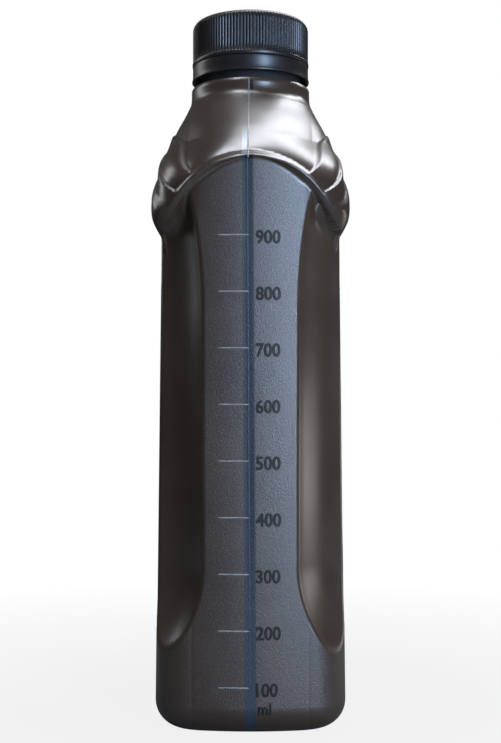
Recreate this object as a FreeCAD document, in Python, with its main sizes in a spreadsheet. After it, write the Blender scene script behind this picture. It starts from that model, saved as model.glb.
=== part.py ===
"""A one litre motor oil bottle: a blow-moulded shell with a screw cap, its tamper band and its liner.

The frame stands on the middle of the base. X runs across the thickness, Y across the width and Z up.
The face with the graduations looks along -Y.
"""

import FreeCAD, Part
import math
import os
import Sketcher

from FreeCAD import Placement, Rotation, Vector

os.makedirs("parts", exist_ok=True)
doc = FreeCAD.newDocument("OilBottle")
sheet = doc.addObject("Spreadsheet::Sheet", "Sizes")

# Driving dimensions in millimetres, degrees where the name says so
DRIVING = {
    # Lower body
    "wall": 1.0,
    "foot_thick": 60.0,
    "foot_width": 110.4,
    "head_thick": 56.2,
    "head_width": 108.4,
    "head_level": 179.0,
    "corner_round": 13.0,
    "foot_round": 9.0,
    "pushup_depth": 3.0,
    "pushup_slope": 0.8,
    "pushup_corner": 5.0,
    "foot_ring": 3.0,
    # Grip scoops at the four upright corners
    "scoop_round": 30.0,
    "scoop_end_round": 14.0,
    "scoop_bottom": 24.2,
    "scoop_out_thick": 13.2,
    "scoop_out_width": 8.2,
    "scoop_overrun": 5.0,
    # Shoulder skin
    "tier_step": 0.45,
    "shoulder_inset": 1.4,
    # Arches that bound the collar below
    "arch_apex": 177.7,
    "arch_flare_rise": 1.1,
    "arch_drop_deep": 0.028,
    "arch_drop_proud": 0.008,
    "arch_deep_at": 38.0,
    "arch_proud_at": 60.0,
    "cutter_bottom": 110.0,
    "arch_overrun": 10.0,
    "trim_bottom": -10.0,
    "side_apex_deep": 163.9,
    "side_apex_proud": 179.3,
    "side_drop": 0.0112,
    "side_deep_at": 26.0,
    "side_proud_at": 34.0,
    # Neck
    "neck_ledge_radius": 20.3,
    "neck_ledge_top": 211.0,
    "neck_radius": 17.0,
    "neck_bore_radius": 15.4,
    "neck_rim": 231.2,
    "rim_chamfer": 0.5,
    "ledge_chamfer": 0.6,
    "neck_root_drop": 12.0,
    "neck_blend_drop": 6.0,
    "bore_flare": 3.0,
    "bore_flare_drop": 5.0,
    "bore_end_drop": 1.5,
    "bore_root_drop": 4.0,
    "bead_radius": 18.6,
    "bead_level": 215.9,
    "bead_height": 1.2,
    "bead_slope": 0.8,
    # Screw thread
    "thread_pitch": 4.0,
    "thread_turns": 2.0,
    "thread_rise": 1.0,
    "thread_root": 1.6,
    "thread_crest": 0.8,
    "thread_start": 219.9,
    "thread_root_depth": 0.1,
    "cap_thread_short": 0.4,
    # Cap
    "cap_radius": 20.0,
    "cap_bottom": 218.8,
    "cap_top": 234.0,
    "cap_round": 3.0,
    "cap_plate": 1.8,
    "cap_rim": 1.3,
    "cap_rib_count": 116.0,
    "cap_rib_depth": 0.36,
    "liner_thick": 1.0,
    "liner_gap": 0.3,
    "thread_gap": 0.35,
    # Tamper band
    "band_bottom": 213.4,
    "band_gap": 0.35,
    "band_flare": 0.3,
    "band_flare_rise": 2.0,
    "band_rim": 0.5,
    "band_hook": 0.7,
    "band_hook_slope": 0.6,
    "band_clearance": 0.2,
    "bridge_count": 8.0,
    "bridge_width": 1.0,
    "bridge_inset": 0.2,
    "bridge_root": 0.1,
    # Graduations
    "mark_pitch": 17.3,
    "mark_first": 15.2,
    "mark_count": 9.0,
    "mark_length": 9.8,
    "mark_height": 0.6,
    "mark_rise": 0.3,
    "mark_inner_end": 0.5,
    "mark_root": 0.3,
    # Labels on the two wide faces
    "label_bottom": 30.0,
    "label_top": 143.0,
    "label_width": 68.0,
    "label_round": 5.0,
    "label_thick": 0.2,
    "label_gap": 0.02,
}

# Straight steps that round the foot
FOOT_STEPS = 4

# Shoulder stations from the neck down: level, half thickness, half width and corner radius
SKIN_STATIONS = {
    "neck_end": (209.5, 20.0, 20.0, 19.8),
    "neck_flank": (203.5, 20.8, 24.5, 20.3),
    "upper_slope": (199.0, 22.7, 30.0, 21.5),
    "mid_slope": (194.0, 25.4, 36.2, 22.0),
    "tier_slope": (190.0, 26.7, 41.3, 22.0),
    "lower_slope": (185.5, 27.9, 47.0, 21.0),
    "brow": (181.0, 28.6, 52.4, 19.0),
    "skirt": (150.0, 28.6, 53.6, 17.0),
}

# Collar stations from the brow down, proud of the skin
COLLAR_STATIONS = {
    "collar_head": (184.0, 30.2, 51.8, 19.0),
    "collar_crest": (178.0, 30.7, 55.6, 18.0),
    "collar_belly": (165.0, 31.5, 56.0, 17.0),
    "collar_foot": (148.0, 31.5, 56.0, 17.0),
}

# Arches that trim the pieces above: apex and fall on the wide faces, then on the narrow faces where they count
TRIMS = {
    "tier_one": (193.9, 0.0078),
    "tier_two": (188.5, 0.0081),
    "collar_top": (181.0, 0.0112, 181.0, 0.0155),
    "core_top": (169.8, 0.0112, 178.8, 0.0115),
}

for stations in (SKIN_STATIONS, COLLAR_STATIONS):
    for station, values in stations.items():
        for word, value in zip(("level", "thick_half", "width_half", "round"), values):
            DRIVING[f"{station}_{word}"] = value

for trim, values in TRIMS.items():
    for word, value in zip(("wide_apex", "wide_drop", "narrow_apex", "narrow_drop"), values):
        DRIVING[f"{trim}_{word}"] = value

for row, (alias, value) in enumerate(DRIVING.items(), start=1):
    sheet.set(f"A{row}", alias)
    sheet.set(f"B{row}", str(value))
    sheet.setAlias(f"B{row}", alias)
doc.recompute()


def size(alias):
    """Return one driving dimension as the sheet holds it."""
    return float(sheet.get(alias))


def origin_plane(body, role):
    """Return one of the body's own origin planes or axes."""
    return next(item for item in body.Origin.OriginFeatures if item.Role == role)


def add_sketch(body, name, role, along="0", across="0"):
    """Attach a sketch to an origin plane of its body, moved along and across the plane."""
    sketch = body.newObject("Sketcher::SketchObject", name)
    sketch.AttachmentSupport = (origin_plane(body, role), [""])
    sketch.MapMode = "FlatFace"
    sketch.setExpression(".AttachmentOffset.Base.z", along)
    sketch.setExpression(".AttachmentOffset.Base.x", across)
    return sketch


def bind(sketch, kind, *picks, to):
    """Add a dimension to a sketch and bind it to an expression of the sheet."""
    index = sketch.addConstraint(Sketcher.Constraint(kind, *picks, float(sketch.evalExpression(to))))
    sketch.setExpression(f"Constraints[{index}]", to)


def polygon(sketch, corners):
    """Draw a closed polygon whose corners are pairs of expressions, none of them negative."""
    points = [Vector(*(float(sketch.evalExpression(text)) for text in corner), 0) for corner in corners]
    for index, point in enumerate(points):
        sketch.addGeometry(Part.LineSegment(point, points[(index + 1) % len(points)]), False)
    for index in range(len(points)):
        sketch.addConstraint(Sketcher.Constraint("Coincident", index, 2, (index + 1) % len(points), 1))
    for index, (across, up) in enumerate(corners):
        if points[index].x == 0:
            sketch.addConstraint(Sketcher.Constraint("PointOnObject", index, 1, -2))
        else:
            bind(sketch, "DistanceX", -1, 1, index, 1, to=across)
        if points[index].y == 0:
            sketch.addConstraint(Sketcher.Constraint("PointOnObject", index, 1, -1))
        else:
            bind(sketch, "DistanceY", -1, 1, index, 1, to=up)


def rounded_rectangle(sketch, half_across, half_up, radius):
    """Draw a rectangle with round corners, centred on the sketch's origin."""
    wide, tall, turn = (float(sketch.evalExpression(text)) for text in (half_across, half_up, radius))
    flat_wide, flat_tall = wide - turn, tall - turn
    quarter = math.pi / 2
    runs = (
        (Vector(-flat_wide, -tall), Vector(flat_wide, -tall), Vector(flat_wide, -flat_tall), -quarter),
        (Vector(wide, -flat_tall), Vector(wide, flat_tall), Vector(flat_wide, flat_tall), 0.0),
        (Vector(flat_wide, tall), Vector(-flat_wide, tall), Vector(-flat_wide, flat_tall), quarter),
        (Vector(-wide, flat_tall), Vector(-wide, -flat_tall), Vector(-flat_wide, -flat_tall), 2 * quarter),
    )
    for start, end, centre, angle in runs:
        sketch.addGeometry(Part.LineSegment(start, end), False)
        corner = Part.Circle(centre, Vector(0, 0, 1), turn)
        sketch.addGeometry(Part.ArcOfCircle(corner, angle, angle + quarter), False)
    for index in range(8):
        sketch.addConstraint(Sketcher.Constraint("Tangent", index, 2, (index + 1) % 8, 1))
    sketch.addConstraint(Sketcher.Constraint("Horizontal", 4))
    sketch.addConstraint(Sketcher.Constraint("Vertical", 6))
    for corner in (3, 5, 7):
        sketch.addConstraint(Sketcher.Constraint("Equal", 1, corner))
    sketch.addConstraint(Sketcher.Constraint("Symmetric", 0, 1, 0, 2, -2))
    sketch.addConstraint(Sketcher.Constraint("Symmetric", 2, 1, 2, 2, -1))
    bind(sketch, "DistanceX", 6, 1, 2, 1, to=f"2 * ({half_across})")
    bind(sketch, "DistanceY", 0, 1, 4, 1, to=f"2 * ({half_up})")
    bind(sketch, "Radius", 1, to=radius)


def loft(body, name, sections, kind="PartDesign::AdditiveLoft"):
    """Loft straight between sections: level, half thickness, half width and corner radius of each."""
    sketches = []
    for number, (level, half_thick, half_width, radius) in enumerate(sections, start=1):
        sketch = add_sketch(body, f"{name}_section_{number}", "XY_Plane", level)
        rounded_rectangle(sketch, half_thick, half_width, radius)
        sketches.append(sketch)
    feature = body.newObject(kind, name)
    feature.Profile = sketches[0]
    feature.Sections = sketches[1:]
    feature.Ruled = True
    doc.recompute()
    return feature


def revolve(body, name, corners):
    """Turn a profile of radius and level pairs about the upright axis."""
    sketch = add_sketch(body, f"{name}_profile", "XZ_Plane")
    polygon(sketch, corners)
    feature = body.newObject("PartDesign::Revolution", name)
    feature.Profile = sketch
    feature.ReferenceAxis = (sketch, ["V_Axis"])
    doc.recompute()
    return feature


def ring_edges(feature, radius, level):
    """Name the round edges of a feature at one radius and level."""
    names = []
    for number, edge in enumerate(feature.Shape.Edges, start=1):
        box = edge.BoundBox
        level_fits = abs(box.ZMin - level) < 0.01 and abs(box.ZMax - level) < 0.01
        if level_fits and abs(box.XMax - radius) < 0.01:
            names.append(f"Edge{number}")
    return names


def round_ring(body, name, base, radius, level, turn):
    """Fillet the ring edge of a turned piece."""
    feature = body.newObject("PartDesign::Fillet", name)
    feature.Base = (base, ring_edges(base, radius, level))
    feature.setExpression("Radius", turn)
    doc.recompute()
    return feature


def add_thread(body, name, start, wall_radius, crest_radius, turns):
    """Add a trapezoid ridge that climbs round the upright axis, rooted slightly inside its wall."""
    sketch = add_sketch(body, f"{name}_profile", "XZ_Plane")
    root = "Sizes.thread_root / 2"
    crest = "Sizes.thread_crest / 2"
    polygon(sketch, (
        (wall_radius, f"{start} - {root}"),
        (crest_radius, f"{start} - {crest}"),
        (crest_radius, f"{start} + {crest}"),
        (wall_radius, f"{start} + {root}"),
    ))
    helix = body.newObject("PartDesign::AdditiveHelix", name)
    helix.Profile = sketch
    helix.ReferenceAxis = (sketch, ["V_Axis"])
    helix.Mode = "pitch-turns-angle"
    helix.setExpression("Pitch", "Sizes.thread_pitch")
    helix.setExpression("Turns", turns)
    doc.recompute()
    return helix


def join(name, kind, *pieces):
    """Fuse or cut several objects into one."""
    feature = doc.addObject(kind, name)
    if kind == "Part::MultiFuse":
        feature.Shapes = list(pieces)
    else:
        feature.Base, feature.Tool = pieces
    doc.recompute()
    return feature


def solid_feature(name, shape):
    """Hold a shape made straight from the sheet's values."""
    feature = doc.addObject("Part::Feature", name)
    feature.Shape = shape
    return feature


def arch_wire(to_point, apex, drop, half_span, bottom):
    """Return the closed outline of all that lies under a parabolic arch."""
    fall = drop * half_span ** 2
    feet = (to_point(-half_span, apex - fall), to_point(half_span, apex - fall))
    curve = Part.BezierCurve()
    curve.setPoles([feet[0], to_point(0, apex + fall), feet[1]])
    corners = (feet[1], to_point(half_span, bottom), to_point(-half_span, bottom), feet[0])
    sides = [Part.makeLine(start, end) for start, end in zip(corners, corners[1:])]
    return Part.Wire([curve.toShape(), *sides])


def under_arches(name, trim):
    """Return what lies under the trim's arch on the narrow faces or under that on the wide faces."""
    reach = size("foot_width")
    span = reach / 2 + size("arch_overrun")
    bottom = size("trim_bottom")
    wire = arch_wire(lambda across, up: Vector(-reach, across, up), size(f"{trim}_wide_apex"),
                     size(f"{trim}_wide_drop"), span, bottom)
    shape = Part.Face(wire).extrude(Vector(2 * reach, 0, 0))
    if len(TRIMS[trim]) > 2:
        wire = arch_wire(lambda across, up: Vector(across, -reach, up), size(f"{trim}_narrow_apex"),
                         size(f"{trim}_narrow_drop"), span, bottom)
        shape = shape.fuse(Part.Face(wire).extrude(Vector(0, 2 * reach, 0)))
    return solid_feature(name, shape)


def arch_cutters(name, lift):
    """Return the four flared arches that bound the collar below, raised by a lift."""
    bottom = size("cutter_bottom")
    apex = size("arch_apex") + lift
    deep, proud = size("arch_deep_at"), size("arch_proud_at")
    side_deep, side_proud = size("side_deep_at"), size("side_proud_at")
    narrow_span = size("foot_thick") / 2 + size("arch_overrun")
    wide_span = size("foot_width") / 2 + size("arch_overrun")
    cutters = []
    for side in (-1, 1):
        inner = arch_wire(lambda across, up: Vector(across, side * (deep - lift), up),
                          apex, size("arch_drop_deep"), narrow_span, bottom)
        outer = arch_wire(lambda across, up: Vector(across, side * proud, up),
                          apex + size("arch_flare_rise"), size("arch_drop_proud"), narrow_span, bottom)
        cutters.append(Part.makeLoft([inner, outer], True, True))
        inner = arch_wire(lambda across, up: Vector(side * (side_deep - lift), across, up),
                          size("side_apex_deep") + lift, size("side_drop"), wide_span, bottom)
        outer = arch_wire(lambda across, up: Vector(side * side_proud, across, up),
                          size("side_apex_proud") + lift, size("side_drop"), wide_span, bottom)
        cutters.append(Part.makeLoft([inner, outer], True, True))
    return solid_feature(name, cutters[0].multiFuse(cutters[1:]))


def lower_body(name, inset):
    """Build the lower body: tapered loft, round foot edge, push-up and four grip scoops."""
    body = doc.addObject("PartDesign::Body", name)
    sections = []
    for step in range(FOOT_STEPS + 1):
        angle = math.pi / 2 * step / FOOT_STEPS
        rise = f"{1 - math.cos(angle):.5f} * (Sizes.foot_round - ({inset}))"
        pull = f"(({inset}) + {1 - math.sin(angle):.5f} * (Sizes.foot_round - ({inset})))"
        sections.append((f"({inset}) + {rise}", f"Sizes.foot_thick / 2 - {pull}",
                         f"Sizes.foot_width / 2 - {pull}", f"Sizes.corner_round - {pull}"))
    sections.append((f"Sizes.head_level - 2 * ({inset})", f"Sizes.head_thick / 2 - ({inset})",
                     f"Sizes.head_width / 2 - ({inset})", f"Sizes.corner_round - ({inset})"))
    loft(body, f"{name}_loft", sections)
    margin = f"(Sizes.foot_round + Sizes.foot_ring - ({inset}))"
    loft(body, f"{name}_pushup", (
        (f"0.5 * ({inset})",
         f"Sizes.foot_thick / 2 - ({margin})", f"Sizes.foot_width / 2 - ({margin})",
         "Sizes.pushup_corner + 1"),
        (f"Sizes.pushup_depth + ({inset})",
         f"Sizes.foot_thick / 2 - (1 + Sizes.pushup_slope) * ({margin})",
         f"Sizes.foot_width / 2 - (1 + Sizes.pushup_slope) * ({margin})", "Sizes.pushup_corner"),
    ), "PartDesign::SubtractiveLoft")
    radius = f"Sizes.scoop_round + ({inset})"
    turn = "Sizes.scoop_end_round"
    bottom = f"Sizes.scoop_bottom - ({inset})"
    for number, (side, end) in enumerate(((-1, -1), (-1, 1), (1, -1), (1, 1)), start=1):
        sketch = add_sketch(body, f"{name}_scoop_profile_{number}", "XZ_Plane",
                            f"{end} * (Sizes.foot_width / 2 + Sizes.scoop_out_width)",
                            f"{side} * (Sizes.foot_thick / 2 + Sizes.scoop_out_thick)")
        polygon(sketch, (
            ("0", bottom),
            (f"{radius} - {turn}", bottom),
            (radius, f"{bottom} + {turn}"),
            (radius, "Sizes.head_level + Sizes.scoop_overrun"),
            ("0", "Sizes.head_level + Sizes.scoop_overrun"),
        ))
        groove = body.newObject("PartDesign::Groove", f"{name}_scoop_{number}")
        groove.Profile = sketch
        groove.ReferenceAxis = (sketch, ["V_Axis"])
        doc.recompute()
    return body


def shell_loft(name, stations, inset, extra_thick="0"):
    """Loft a shoulder shell through its stations, drawn in or out in thickness."""
    body = doc.addObject("PartDesign::Body", name)
    loft(body, f"{name}_loft", [
        (f"Sizes.{station}_level", f"Sizes.{station}_thick_half - ({inset}) + {extra_thick}",
         f"Sizes.{station}_width_half - ({inset})", f"Sizes.{station}_round - ({inset})")
        for station in stations
    ])
    return body


def build_bottle():
    """Build the hollow bottle: skin, tiers, collar, lower body, neck and graduations."""
    skin = shell_loft("skin", SKIN_STATIONS, "0")
    raised = [skin]
    for count, trim in enumerate(("tier_one", "tier_two"), start=1):
        tier = shell_loft(f"{trim}_shell", SKIN_STATIONS, "0", f"{count} * Sizes.tier_step")
        raised.append(join(trim, "Part::Common", tier, under_arches(f"{trim}_arch", trim)))
    collar = shell_loft("collar_shell", COLLAR_STATIONS, "0")
    raised.append(join("collar", "Part::Common", collar, under_arches("collar_arch", "collar_top")))
    helmet = join("helmet", "Part::MultiFuse", *raised)
    hood = join("hood", "Part::Cut", helmet, arch_cutters("outer_arches", 0.0))
    core = join("core_trimmed", "Part::Common",
                lower_body("core", "0"), under_arches("core_arch", "core_top"))

    neck = doc.addObject("PartDesign::Body", "neck")
    ledge = "Sizes.neck_ledge_top"
    bead = "Sizes.bead_level"
    revolve(neck, "neck_turned", (
        ("0", f"{ledge} - Sizes.neck_root_drop"),
        ("Sizes.neck_radius", f"{ledge} - Sizes.neck_root_drop"),
        ("Sizes.neck_ledge_radius", f"{ledge} - Sizes.neck_blend_drop"),
        ("Sizes.neck_ledge_radius", f"{ledge} - Sizes.ledge_chamfer"),
        ("Sizes.neck_ledge_radius - Sizes.ledge_chamfer", ledge),
        ("Sizes.neck_radius", ledge),
        ("Sizes.neck_radius", f"{bead} - Sizes.bead_slope"),
        ("Sizes.bead_radius", bead),
        ("Sizes.bead_radius", f"{bead} + Sizes.bead_height"),
        ("Sizes.neck_radius", f"{bead} + Sizes.bead_height + Sizes.bead_slope"),
        ("Sizes.neck_radius", "Sizes.neck_rim - Sizes.rim_chamfer"),
        ("Sizes.neck_radius - Sizes.rim_chamfer", "Sizes.neck_rim"),
        ("0", "Sizes.neck_rim"),
    ))
    add_thread(neck, "neck_thread", "Sizes.thread_start", "Sizes.neck_radius - Sizes.thread_root_depth",
               "Sizes.neck_radius + Sizes.thread_rise", "Sizes.thread_turns")
    outer = join("outer_form", "Part::MultiFuse", core, hood, neck, build_marks())

    inset_stations = [station for station in SKIN_STATIONS if station != "neck_end"]
    void_shoulder = shell_loft("void_shoulder", inset_stations, "Sizes.shoulder_inset")
    void_hood = join("void_hood", "Part::Cut", void_shoulder, arch_cutters("inner_arches", size("wall")))
    void_neck = doc.addObject("PartDesign::Body", "void_neck")
    revolve(void_neck, "void_neck_turned", (
        ("0", "Sizes.neck_flank_level - Sizes.bore_root_drop"),
        ("Sizes.neck_bore_radius + Sizes.bore_flare", "Sizes.neck_flank_level - Sizes.bore_root_drop"),
        ("Sizes.neck_bore_radius + Sizes.bore_flare", f"{ledge} - Sizes.bore_flare_drop"),
        ("Sizes.neck_bore_radius", f"{ledge} - Sizes.bore_end_drop"),
        ("Sizes.neck_bore_radius", "Sizes.neck_rim + Sizes.wall"),
        ("0", "Sizes.neck_rim + Sizes.wall"),
    ))
    void = join("void_form", "Part::MultiFuse", lower_body("void_core", "Sizes.wall"), void_hood, void_neck)
    bottle = join("bottle_body", "Part::Cut", outer, void)
    return bottle


def taper_tilt(full_low, full_high):
    """Return the expression of a face's lean from the upright, in degrees, above the foot round."""
    return f"atan(({full_low} - {full_high}) / 2 / (Sizes.head_level - Sizes.foot_round))"


def build_marks():
    """Build the row of raised graduation bars on the narrow face that looks along -Y."""
    marks = doc.addObject("PartDesign::Body", "marks")
    sketch = add_sketch(marks, "mark_profile", "XZ_Plane", "-Sizes.mark_root")
    inner = "Sizes.mark_inner_end"
    outer = "(Sizes.mark_inner_end + Sizes.mark_length)"
    low = "(Sizes.mark_first - Sizes.mark_height / 2)"
    high = "(Sizes.mark_first + Sizes.mark_height / 2)"
    texts = ((inner, low), (outer, low), (outer, high), (inner, high))
    points = [Vector(-float(sketch.evalExpression(across)), float(sketch.evalExpression(up)), 0)
              for across, up in texts]
    for index, point in enumerate(points):
        sketch.addGeometry(Part.LineSegment(point, points[(index + 1) % 4]), False)
    for index in range(4):
        sketch.addConstraint(Sketcher.Constraint("Coincident", index, 2, (index + 1) % 4, 1))
    for index, kind in enumerate(("Horizontal", "Vertical", "Horizontal", "Vertical")):
        sketch.addConstraint(Sketcher.Constraint(kind, index))
    bind(sketch, "DistanceX", 0, 1, -1, 1, to=inner)
    bind(sketch, "DistanceX", 0, 2, 0, 1, to="Sizes.mark_length")
    bind(sketch, "DistanceY", -1, 1, 0, 1, to=low)
    bind(sketch, "DistanceY", 1, 1, 1, 2, to="Sizes.mark_height")
    pad = marks.newObject("PartDesign::Pad", "mark")
    pad.Profile = sketch
    pad.setExpression("Length", "Sizes.mark_root + Sizes.mark_rise")
    doc.recompute()
    row = marks.newObject("PartDesign::LinearPattern", "mark_row")
    row.Originals = [pad]
    row.Direction = (sketch, ["V_Axis"])
    row.Mode = "Extent"
    row.setExpression("Length", "Sizes.mark_pitch * (Sizes.mark_count - 1)")
    row.setExpression("Occurrences", "Sizes.mark_count")
    marks.Tip = row
    lean = taper_tilt("Sizes.foot_width", "Sizes.head_width")
    marks.setExpression(".Placement.Base.y", f"-(Sizes.foot_width / 2 + Sizes.foot_round * tan({lean}))")
    marks.Placement.Rotation = Rotation(Vector(1, 0, 0), 0)
    marks.setExpression(".Placement.Rotation.Axis.x", "1")
    marks.setExpression(".Placement.Rotation.Axis.z", "0")
    marks.setExpression(".Placement.Rotation.Angle", f"-{lean}")
    doc.recompute()
    return marks


def build_cap():
    """Build the screw cap: ribbed skirt, domed top edge and an inner thread."""
    body = doc.addObject("PartDesign::Body", "screw_cap")
    bore = "(Sizes.neck_radius + Sizes.thread_rise + Sizes.thread_gap)"
    under = "(Sizes.cap_top - Sizes.cap_plate)"
    turned = revolve(body, "cap_turned", (
        (bore, "Sizes.cap_bottom"),
        ("Sizes.cap_radius", "Sizes.cap_bottom"),
        ("Sizes.cap_radius", "Sizes.cap_top"),
        ("0", "Sizes.cap_top"),
        ("0", under),
        (bore, under),
    ))
    dome = round_ring(body, "cap_dome", turned, size("cap_radius"), size("cap_top"), "Sizes.cap_round")
    crest = "(Sizes.neck_radius + Sizes.thread_gap)"
    start = ("Sizes.thread_start + Sizes.thread_pitch - Sizes.thread_gap"
             " - Sizes.thread_root / 2 - Sizes.thread_crest / 2")
    add_thread(body, "cap_thread", start, f"{bore} + Sizes.thread_root_depth", crest,
               "Sizes.thread_turns - Sizes.cap_thread_short")
    return body


def add_ribs(body):
    """Cut the fine upright grooves between the cap's ribs, stopping above a plain lower rim."""
    sketch = add_sketch(body, "rib_groove_profile", "XY_Plane", "Sizes.cap_bottom + Sizes.cap_rim")
    pitch = "(2 * 3.14159265 * Sizes.cap_radius / Sizes.cap_rib_count)"
    half_mouth = float(sketch.evalExpression(f"{pitch} / 2"))
    outer = size("cap_radius") + size("cap_rib_depth")
    inner = size("cap_radius") - size("cap_rib_depth")
    points = (Vector(inner, 0, 0), Vector(outer, -half_mouth, 0), Vector(outer, half_mouth, 0))
    for index, point in enumerate(points):
        sketch.addGeometry(Part.LineSegment(point, points[(index + 1) % 3]), False)
    for index in range(3):
        sketch.addConstraint(Sketcher.Constraint("Coincident", index, 2, (index + 1) % 3, 1))
    sketch.addConstraint(Sketcher.Constraint("PointOnObject", 0, 1, -1))
    sketch.addConstraint(Sketcher.Constraint("Symmetric", 1, 1, 1, 2, -1))
    bind(sketch, "DistanceX", -1, 1, 0, 1, to="Sizes.cap_radius - Sizes.cap_rib_depth")
    bind(sketch, "DistanceX", -1, 1, 1, 1, to="Sizes.cap_radius + Sizes.cap_rib_depth")
    bind(sketch, "DistanceY", 1, 1, 1, 2, to=pitch)
    pocket = body.newObject("PartDesign::Pocket", "rib_groove")
    pocket.Profile = sketch
    pocket.Reversed = True
    pocket.setExpression("Length", "Sizes.cap_top - Sizes.cap_bottom")
    doc.recompute()
    ring = body.newObject("PartDesign::PolarPattern", "rib_grooves")
    ring.Originals = [pocket]
    ring.Axis = (sketch, ["N_Axis"])
    ring.Angle = 360
    ring.setExpression("Occurrences", "Sizes.cap_rib_count")
    body.Tip = ring
    doc.recompute()


def build_band():
    """Build the tamper band that stays on the neck below the cap, with its broken bridges."""
    body = doc.addObject("PartDesign::Body", "tamper_band")
    low = "Sizes.band_bottom"
    top = "(Sizes.cap_bottom - Sizes.band_gap)"
    bore = "(Sizes.bead_radius + Sizes.band_clearance)"
    revolve(body, "band_turned", (
        ("Sizes.bead_radius - Sizes.band_hook + Sizes.band_rim", low),
        ("Sizes.cap_radius + Sizes.band_flare", low),
        ("Sizes.cap_radius + Sizes.band_flare", f"{low} + Sizes.band_rim"),
        ("Sizes.cap_radius", f"{low} + Sizes.band_flare_rise"),
        ("Sizes.cap_radius", top),
        (bore, top),
        (bore, "Sizes.bead_level - Sizes.band_hook"),
        ("Sizes.bead_radius - Sizes.band_hook", "Sizes.bead_level - Sizes.band_hook - Sizes.band_hook_slope"),
        ("Sizes.bead_radius - Sizes.band_hook", f"{low} + Sizes.band_rim"),
    ))
    sketch = add_sketch(body, "bridge_profile", "XY_Plane", f"{top} - Sizes.bridge_root")
    polygon(sketch, (
        (f"{bore} + Sizes.bridge_inset", "0"),
        ("Sizes.cap_radius - Sizes.bridge_inset", "0"),
        ("Sizes.cap_radius - Sizes.bridge_inset", "Sizes.bridge_width"),
        (f"{bore} + Sizes.bridge_inset", "Sizes.bridge_width"),
    ))
    pad = body.newObject("PartDesign::Pad", "bridge")
    pad.Profile = sketch
    pad.setExpression("Length", "Sizes.band_gap")
    doc.recompute()
    ring = body.newObject("PartDesign::PolarPattern", "bridges")
    ring.Originals = [pad]
    ring.Axis = (sketch, ["N_Axis"])
    ring.Angle = 360
    ring.setExpression("Occurrences", "Sizes.bridge_count")
    body.Tip = ring
    doc.recompute()
    return body


def build_liner():
    """Build the sealing disc that lies in the cap and presses on the neck's rim."""
    body = doc.addObject("PartDesign::Body", "cap_liner")
    radius = "Sizes.neck_radius + Sizes.thread_rise + Sizes.thread_gap - Sizes.liner_gap"
    under = "(Sizes.cap_top - Sizes.cap_plate)"
    revolve(body, "liner_turned", (
        ("0", f"{under} - Sizes.liner_thick"),
        (radius, f"{under} - Sizes.liner_thick"),
        (radius, under),
        ("0", under),
    ))
    return body


def build_label(name, side):
    """Build one bare film label, leaning with the wide face that it lies on."""
    body = doc.addObject("PartDesign::Body", name)
    sketch = add_sketch(body, f"{name}_profile", "YZ_Plane", "Sizes.label_gap")
    rounded_rectangle(sketch, "Sizes.label_width / 2",
                      "(Sizes.label_top - Sizes.label_bottom) / 2", "Sizes.label_round")
    pad = body.newObject("PartDesign::Pad", f"{name}_film")
    pad.Profile = sketch
    pad.setExpression("Length", "Sizes.label_thick")
    middle = "(Sizes.label_top + Sizes.label_bottom) / 2"
    lean = taper_tilt("Sizes.foot_thick", "Sizes.head_thick")
    face = f"(Sizes.foot_thick / 2 - ({middle} - Sizes.foot_round) * tan({lean}))"
    turned = f"(180 deg + {lean})" if side < 0 else f"(-{lean})"
    body.setExpression(".Placement.Base.x", f"{side} * {face}")
    body.setExpression(".Placement.Base.z", middle)
    body.setExpression(".Placement.Rotation.Axis.y", "1")
    body.setExpression(".Placement.Rotation.Axis.z", "0")
    body.setExpression(".Placement.Rotation.Angle", turned)
    doc.recompute()
    return body


def check_and_write(pieces):
    """Check every object and shape, then write one file for each piece."""
    doc.recompute()
    failed = [item.Name for item in doc.Objects if {"Invalid", "Error"} & set(item.State)]
    if failed:
        raise RuntimeError("failed objects: " + ", ".join(failed))
    for piece in pieces:
        if piece.Shape.isNull() or not piece.Shape.isValid() or piece.Shape.Volume <= 0:
            raise RuntimeError("bad shape: " + piece.Label)
    for piece in pieces:
        piece.Shape.exportStep(f"parts/{piece.Label}.step")
        print(piece.Label, round(piece.Shape.Volume, 1))


cap = build_cap()
add_ribs(cap)
check_and_write([
    build_bottle(),
    build_band(),
    cap,
    build_liner(),
    build_label("front_label", 1),
    build_label("back_label", -1),
])
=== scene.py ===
"""The looks of a one litre motor oil bottle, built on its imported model.

Lengths are in millimetres, but for the lamps, the camera and the material's places, which are in metres.
"""

import math

import bpy
import numpy as np
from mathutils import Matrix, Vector


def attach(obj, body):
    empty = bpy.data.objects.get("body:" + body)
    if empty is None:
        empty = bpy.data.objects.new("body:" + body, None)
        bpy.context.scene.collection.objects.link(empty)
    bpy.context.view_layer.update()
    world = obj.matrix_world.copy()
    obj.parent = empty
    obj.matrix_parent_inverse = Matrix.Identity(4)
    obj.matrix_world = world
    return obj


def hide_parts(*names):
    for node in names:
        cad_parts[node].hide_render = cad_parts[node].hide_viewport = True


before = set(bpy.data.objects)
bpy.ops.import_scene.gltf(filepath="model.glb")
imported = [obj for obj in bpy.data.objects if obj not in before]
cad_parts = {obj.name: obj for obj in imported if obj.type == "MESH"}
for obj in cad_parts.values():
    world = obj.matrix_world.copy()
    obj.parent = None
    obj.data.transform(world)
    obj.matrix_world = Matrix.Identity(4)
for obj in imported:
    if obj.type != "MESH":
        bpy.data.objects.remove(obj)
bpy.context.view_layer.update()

MM = 0.001

# Lower body
FOOT_HALF = (30.0, 55.2)
HEAD_HALF = (28.1, 54.2)
HEAD_LEVEL = 179.0
CORNER_ROUND = 13.0
FOOT_ROUND = 9.0
PUSHUP_DEPTH = 3.0
PUSHUP_EDGE = 0.72
PUSHUP_SLOPE = 0.2
WALL = 1.0
STRIP_CROWN = 0.006

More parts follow.
